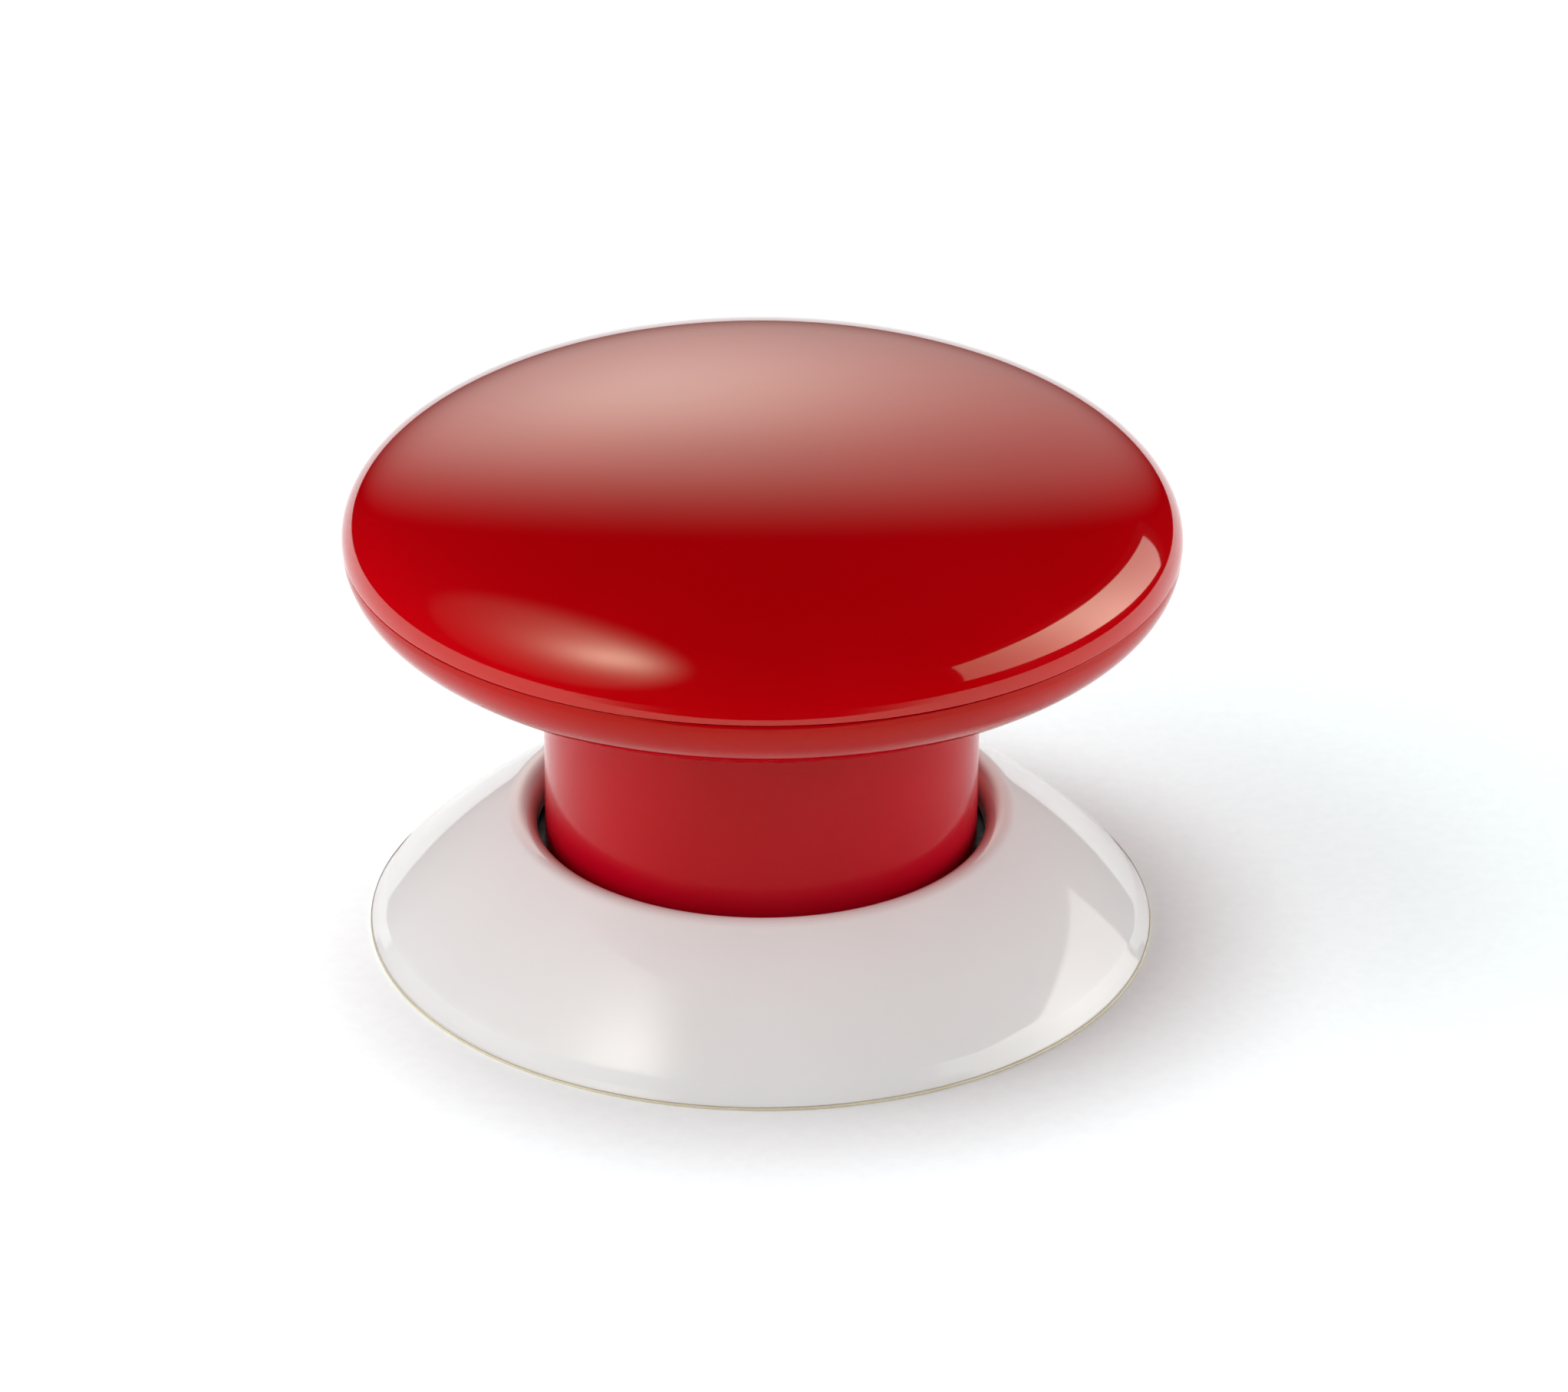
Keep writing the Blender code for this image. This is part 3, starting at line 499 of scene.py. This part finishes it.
def flange():
    """White cone with a rounded lip, a steep rim band and three screw bosses inside."""
    lip_centre = (HOLE_RADIUS + LIP_ROUND, LIP_TOP - LIP_ROUND)
    edge = 0.06
    inner_radius, inner_top = 18.7, 1.7
    collar_radius, collar_top, seat_z = 14.35, 5.1, 5.3
    profile = arc(lip_centre, LIP_ROUND, 180.0, 90.0 - FLANK_TOP_DEGREES, LIP_STEPS)
    profile += flank(profile[-1], SHOULDER, FLANK_STEPS)
    profile += facet(SHOULDER, BAND_BREAK) + facet(BAND_BREAK, BASE_EDGE)[:2]
    profile += arc((BASE_EDGE[0] - edge, BASE_EDGE[1] + edge), edge, 20.0, -90.0, 6)
    profile += [(inner_radius, BASE_EDGE[1]), (inner_radius, inner_top), (collar_radius, collar_top)]
    profile += [(collar_radius, seat_z), (HOLE_RADIUS, seat_z)]
    cone = turned("base_cone", profile)
    bosses = [rod_at(f"boss_{turn}", 1.5, 2.2, 4.2, BASE_SCREW_CIRCLE, turn) for turn in BASE_THIRDS]
    holes = [rod_at(f"hole_{turn}", SCREW_HOLE, 0.2, 3.9, BASE_SCREW_CIRCLE, turn) for turn in BASE_THIRDS]
    return combine(cone, added=bosses, cut=holes)


def pad():
    """Thin round pad with its edges just broken."""
    edge = 0.04
    profile = [(0.0, PAD_TOP)] + arc((PAD_RADIUS - edge, PAD_TOP - edge), edge, 90.0, 0.0, 3)
    profile += arc((PAD_RADIUS - edge, edge), edge, 0.0, -90.0, 3) + [(0.0, 0.0)]
    return turned("foam_pad", profile)


def spring():
    """Round wire in a coil with a closed turn at each end, between the two ends of the CAD spring."""
    wire, coil_radius = 0.35, 5.4
    end_pitch, active_turns, per_turn = 0.85, 4.5, 40
    low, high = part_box("return_spring")
    bottom, top = low[2] / MM + wire, high[2] / MM - wire
    active_pitch = (top - bottom - 2.0 * end_pitch) / active_turns
    curve = bpy.data.curves.new("spring_path", "CURVE")
    curve.dimensions = "3D"
    curve.bevel_depth = wire * MM
    curve.bevel_resolution = 3
    curve.use_fill_caps = True
    count = int((active_turns + 2.0) * per_turn) + 1
    path = curve.splines.new("POLY")
    path.points.add(count - 1)
    for i in range(count):
        turn = i / per_turn
        active = min(max(turn - 1.0, 0.0), active_turns)
        height = bottom + (turn - active) * end_pitch + active * active_pitch
        angle = math.tau * turn
        spot = (coil_radius * math.cos(angle), coil_radius * math.sin(angle), height)
        path.points[i].co = (*(value * MM for value in spot), 1.0)
    guide = link("spring_path", curve)
    graph = bpy.context.evaluated_depsgraph_get()
    mesh = bpy.data.meshes.new_from_object(guide.evaluated_get(graph))
    bpy.data.objects.remove(guide, do_unlink=True)
    bm = bmesh.new()
    bm.from_mesh(mesh)
    bmesh.ops.remove_doubles(bm, verts=bm.verts, dist=0.000001)
    bmesh.ops.recalc_face_normals(bm, faces=bm.faces)
    bm.to_mesh(mesh)
    bm.free()
    return link("spring_coil", mesh)


# --- Build ------------------------------------------------------------------------------------

make_camera()

# What the red plastic reflects is slightly yellow, and more so on the two lower pieces
RED_SHEEN = rgb(1.0, 0.98, 0.78)
UNDER_SHEEN = rgb(1.0, 0.85, 0.5)

red_gloss = moulded("red_gloss", rgb(0.44, 0.0, 0.002), rgb(0.47, 0.0, 0.003), (0.035, 0.06), 0.012,
                    Specular_Tint=RED_SHEEN)
red_under = moulded("red_under", rgb(0.37, 0.0, 0.002), rgb(0.40, 0.0, 0.003), (0.04, 0.07), 0.012,
                    Specular_IOR_Level=0.22, Specular_Tint=UNDER_SHEEN)
red_satin = moulded("red_satin", rgb(0.37, 0.0, 0.008), rgb(0.40, 0.0, 0.010), (0.12, 0.17), 0.02, 0.02,
                    Specular_IOR_Level=0.20, Specular_Tint=UNDER_SHEEN)
white_gloss = moulded("white_gloss", rgb(0.745, 0.745, 0.735), rgb(0.765, 0.765, 0.755), (0.05, 0.08), 0.012,
                      Specular_IOR_Level=0.32)
cream_foam = foam("cream_foam", rgb(0.60, 0.52, 0.38), rgb(0.68, 0.61, 0.46))

black = moulded("black_plastic", rgb(0.016, 0.016, 0.018), rgb(0.024, 0.024, 0.026), (0.38, 0.5), 0.2)
grey_rubber = moulded("grey_rubber", rgb(0.05, 0.05, 0.05), rgb(0.08, 0.08, 0.08), (0.7, 0.85), 0.3)
cream = moulded("cream_plastic", rgb(0.72, 0.68, 0.57), rgb(0.78, 0.74, 0.64), (0.35, 0.45), 0.1)
epoxy = moulded("chip_epoxy", rgb(0.02, 0.02, 0.022), rgb(0.035, 0.035, 0.037), (0.5, 0.65), 0.4)
ochre = moulded("capacitor_epoxy", rgb(0.62, 0.38, 0.10), rgb(0.68, 0.44, 0.14), (0.3, 0.4), 0.1)
clear_epoxy = moulded("lamp_epoxy", rgb(0.80, 0.80, 0.74), rgb(0.86, 0.86, 0.82), (0.1, 0.2), 0.05,
                      Transmission_Weight=0.4)
board = circuit_board("solder_mask")

steel = metal("bright_steel", rgb(0.55, 0.55, 0.57), rgb(0.66, 0.66, 0.68), (0.22, 0.36), (1.0, 0.08, 1.0))
screw_steel = metal("screw_steel", rgb(0.48, 0.48, 0.50), rgb(0.60, 0.60, 0.62), (0.3, 0.45))
black_steel = metal("black_steel", rgb(0.012, 0.012, 0.013), rgb(0.022, 0.022, 0.024), (0.4, 0.55))
spring_wire = metal("spring_wire", rgb(0.42, 0.42, 0.44), rgb(0.52, 0.52, 0.54), (0.25, 0.4))
cell_steel = metal("cell_steel", rgb(0.62, 0.62, 0.62), rgb(0.72, 0.72, 0.72), (0.2, 0.32), (1.0, 1.0, 0.1))
brass = metal("contact_brass", rgb(0.66, 0.46, 0.18), rgb(0.76, 0.55, 0.24), (0.25, 0.4))
copper = metal("coil_copper", rgb(0.72, 0.32, 0.17), rgb(0.84, 0.42, 0.24), (0.2, 0.35))

dome_piece = dress(upper_shell(), "cap", "cap_upper_shell", red_gloss)
under_piece = dress(lower_shell(), "button", "cap_lower_shell", red_under)
stem_piece = dress(stem(), "button", "stem_tube", red_satin)
flange_piece = dress(flange(), "base", "base_flange", white_gloss)
pad_piece = dress(pad(), "base", "adhesive_pad", cream_foam)
spring_piece = dress(spring(), "base", "return_spring", spring_wire, 60.0)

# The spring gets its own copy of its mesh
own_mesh(spring_piece)

# The pieces inside, which stay CAD nodes
INSIDE = (
    (black, ("base_plate", "switch_body", "battery_holder", "sounder")),
    (grey_rubber, ("stop_buffer", "seal_ring")),
    (screw_steel, [f"{place}_screw_{number}" for place in ("base", "board") for number in (1, 2, 3)]),
    (black_steel, ("retaining_ring",)),
    (board, ("main_board",)),
    (cream, ("switch_plunger",)),
    (cell_steel, ("coin_cell",)),
    (steel, ("battery_clip", "radio_module", "crystal")),
    (brass, ("battery_contact",)),
    (epoxy, ("control_chip",)),
    (ochre, ("capacitor",)),
    (clear_epoxy, ("status_lamp_1", "status_lamp_2")),
    (copper, ("antenna_coil",)),
)
inside_nodes = []
for material, names in INSIDE:
    for node_name in names:
        for material_slot in NODES[node_name].material_slots:
            material_slot.material = material
        inside_nodes.append(NODES[node_name])

# --- Studio: what the glossy surfaces reflect --------------------------------------------------

WARM = rgb(1.0, 0.975, 0.89)


def heading(azimuth, elevation):
    """Unit vector: azimuth from +Y towards +X, elevation above the floor."""
    a, e = math.radians(azimuth), math.radians(elevation)
    return Vector((math.sin(a) * math.cos(e), math.cos(a) * math.cos(e), math.sin(e)))


def circle_points(centre, radii, count=48):
    points = []
    for i in range(count):
        angle = math.tau * i / count
        points.append((centre[0] + radii[0] * math.cos(angle), centre[1] + radii[1] * math.sin(angle)))
    return points


def sheet_of(name, points, material):
    """One flat face, tied to the studio and not to the object."""
    mesh = bpy.data.meshes.new(name)
    mesh.from_pydata(points, [], [range(len(points))])
    mesh.materials.append(material)
    sheet = link(name, mesh)
    return sheet


def only_reflected(sheet):
    """Leave it to the glossy rays."""
    sheet.visible_camera = False
    sheet.visible_diffuse = False
    sheet.visible_shadow = False


def hang(name, outline, seen_from, azimuth, elevation, distance, material):
    """A panel facing seen_from, in millimetres; its outline is in units of the distance."""
    out = heading(azimuth, elevation)
    right = out.cross(Vector((0.0, 0.0, 1.0))).normalized()
    up = right.cross(out)
    panel = sheet_of(name, [(x * distance, y * distance, 0.0) for x, y in outline], material)
    turn = Matrix((right, up, -out)).transposed().to_4x4()
    panel.matrix_world = Matrix.Translation(Vector(seen_from) * MM + out * distance) @ turn
    only_reflected(panel)


def glow(name, peak, core, power, distance, hot=(0.0, 0.0), disc=None, lowest=0.0):
    """
    Emission from a panel's front: it peaks at a hot spot and falls off to lowest, over a core size and at a
    power. disc is (centre, radii, softness) of a round diffuser's edge. Sizes are in units of the distance.
    """
    tree = Tree(name)
    across, upward, _ = tree.along()

    def squared(socket, centre, size):
        shifted = tree.math("SUBTRACT", socket, centre * distance)
        return tree.math("POWER", tree.math("ABSOLUTE", tree.math("DIVIDE", shifted, size * distance)), 2.0)

    reach = tree.math("ADD", squared(across, hot[0], core[0]), squared(upward, hot[1], core[1]))
    level = tree.math("DIVIDE", peak, tree.math("POWER", tree.math("ADD", reach, 1.0), power))
    level = tree.math("ADD", level, lowest)
    if disc:
        centre, radii, softness = disc
        spread = tree.math("ADD", squared(across, centre[0], radii[0]), squared(upward, centre[1], radii[1]))
        edge = tree.between(tree.math("SQRT", spread), 1.0 - softness, 1.0, 1.0, 0.0, True)
        level = tree.math("MULTIPLY", level, edge)
    back = tree.nodes.new("ShaderNodeNewGeometry").outputs["Backfacing"]
    level = tree.math("MULTIPLY", level, tree.math("SUBTRACT", 1.0, back))
    emission = tree.nodes.new("ShaderNodeEmission")
    emission.inputs["Color"].default_value = WARM
    tree.links.new(level, emission.inputs["Strength"])
    return tree.finish(emission.outputs[0])


def hang_strip():
    """A slanted strip at the right, with its frame, which shows as the bright bar on the dome's right."""
    distance = 0.55
    seen_from = (18.0, -8.0, 26.0)
    azimuth, elevation = 84.0, 16.0
    outline = [(-0.744, -0.326), (0.912, -0.058), (0.72, 0.48), (-0.84, 0.086)]
    border = [(-0.86, -0.40), (1.02, -0.10), (0.78, 0.56), (-0.99, 0.14)]
    just_behind = 1.02
    light = glow("strip_light", 5.5, (0.34, 1.2), 1.0, distance, (-0.08, 0.0), lowest=1.1)
    matt_black = moulded("frame_black", rgb(0.01, 0.01, 0.01), rgb(0.012, 0.012, 0.012), (0.8, 0.9), 0.1)
    hang("strip_panel", outline, seen_from, azimuth, elevation, distance, light)
    hang("strip_frame", border, seen_from, azimuth, elevation, distance * just_behind, matt_black)


def hang_key():
    """A round lamp at the front left, which shows as the soft blob low on the dome."""
    distance = 0.75
    centre, radii = (0.36, -0.42), (0.88, 0.88)
    light = glow("key_light", 8.3, (0.25, 0.25), 1.35, distance, disc=(centre, radii, 0.30))
    hang("key_panel", circle_points(centre, radii), (-8.0, -14.0, 30.0), -127.0, 52.0, distance, light)


def hang_back():
    """A wide lamp behind, which lights the upper half of the dome."""
    distance = 0.7
    centre, radii = (0.14, -0.10), (0.80, 0.74)
    light = glow("back_light", 2.9, (0.22, 0.24), 0.8, distance, (0.0, -0.02), (centre, radii, 0.55))
    hang("back_panel", circle_points(centre, radii), (0.0, 5.0, 31.0), -6.0, 25.0, distance, light)


def fading_paper(name, full, gone):
    """Black paper that thins out along X, between these two distances from its middle."""
    tree = Tree(name)
    away = tree.math("ABSOLUTE", tree.along()[0])
    paper = tree.nodes.new("ShaderNodeBsdfDiffuse")
    paper.inputs["Color"].default_value = rgb(0.01, 0.01, 0.01)
    clear = tree.nodes.new("ShaderNodeBsdfTransparent")
    blend = tree.nodes.new("ShaderNodeMixShader")
    tree.links.new(tree.between(away, full, gone, 0.0, 1.0, True), blend.inputs[0])
    tree.links.new(paper.outputs[0], blend.inputs[1])
    tree.links.new(clear.outputs[0], blend.inputs[2])
    return tree.finish(blend.outputs[0])


def stand_card():
    """A dark card in front, seen only in the reflections of the cap's lower edge."""
    half_width, place_y, height = 90.0 * MM, -75.0 * MM, 30.0 * MM
    outline = ((-half_width, 0.0), (half_width, 0.0), (half_width, height), (-half_width, height))
    paper = fading_paper("card_paper", 20.0 * MM, 85.0 * MM)
    only_reflected(sheet_of("front_card", [(x, place_y, z) for x, z in outline], paper))


FLOOR_RADIUS = 220.0 * MM
FLOOR_CORNERS = 96
floor_outline = circle_points((0.0, 0.0), (FLOOR_RADIUS, FLOOR_RADIUS), FLOOR_CORNERS)
floor_points = [(x, y, 0.0) for x, y in floor_outline]
floor = sheet_of("floor", floor_points, floor_paper("floor_paper"))
hang_strip()
hang_key()
hang_back()
stand_card()

# --- Studio: what the matte part of every surface receives -------------------------------------

# Azimuth, elevation and strength of each broad lobe of the room's light
LOBES = ((-100.0, 20.0, 2.8), (-135.0, 20.0, 1.6))
LOBE_POWER = 6.0


def make_world():
    """White behind the camera's view, the lobes for matte light, and a dark room in reflections."""
    tree = Tree("studio", world=True)
    direction = tree.nodes.new("ShaderNodeTexCoord").outputs["Generated"]
    total = 0.0
    for azimuth, elevation, strength in LOBES:
        dot = tree.nodes.new("ShaderNodeVectorMath")
        dot.operation = "DOT_PRODUCT"
        tree.links.new(direction, dot.inputs[0])
        dot.inputs[1].default_value = heading(azimuth, elevation)
        facing = tree.math("MAXIMUM", dot.outputs["Value"], 0.0)
        lobe = tree.math("MULTIPLY", tree.math("POWER", facing, LOBE_POWER), strength)
        total = tree.math("ADD", lobe, total)
    ray = tree.nodes.new("ShaderNodeLightPath").outputs
    unseen = tree.mix(ray["Is Glossy Ray"], total, rgb(0.004, 0.004, 0.004))
    background = tree.nodes.new("ShaderNodeBackground")
    tree.links.new(tree.mix(ray["Is Camera Ray"], unseen, rgb(1.0, 1.0, 1.0)), background.inputs["Color"])
    SCENE.world = tree.finish(background.outputs[0])


def lamp(name, azimuth, elevation, distance, size, power, receivers):
    """A large soft lamp that lights only its receivers and shows in no reflection."""
    data = bpy.data.lights.new(name, "AREA")
    data.shape = "DISK"
    data.size = size
    data.energy = power
    light = bpy.data.objects.new(name, data)
    out = heading(azimuth, elevation)
    turn = out.to_track_quat("Z", "Y").to_matrix().to_4x4()
    aim = Vector((0.0, 0.0, 12.0 * MM))
    light.matrix_world = Matrix.Translation(aim + out * distance) @ turn
    light.visible_camera = False
    light.visible_glossy = False
    SCENE.collection.objects.link(light)
    lit = bpy.data.collections.new(f"{name}_receivers")
    for piece in receivers:
        lit.objects.link(piece)
    light.light_linking.receiver_collection = lit


make_world()
PIECES = [dome_piece, under_piece, stem_piece, flange_piece, pad_piece, spring_piece] + inside_nodes
lamp("floor_top", 0.0, 80.0, 1.5, 1.1, 19.6, [floor])
lamp("floor_left", -90.0, 35.0, 1.5, 1.4, 6.0, [floor])
lamp("right_fill", 90.0, 12.0, 0.5, 0.5, 2.7, PIECES)
lamp("back_fill", 0.0, 22.0, 0.5, 0.5, 0.6, PIECES)
lamp("front_fill", 172.0, 45.0, 0.5, 0.5, 0.2, PIECES)

SCENE.view_settings.view_transform = "Standard"
SCENE.view_settings.look = "None"
SCENE.view_settings.exposure = 0.0
SCENE.view_settings.gamma = 1.0
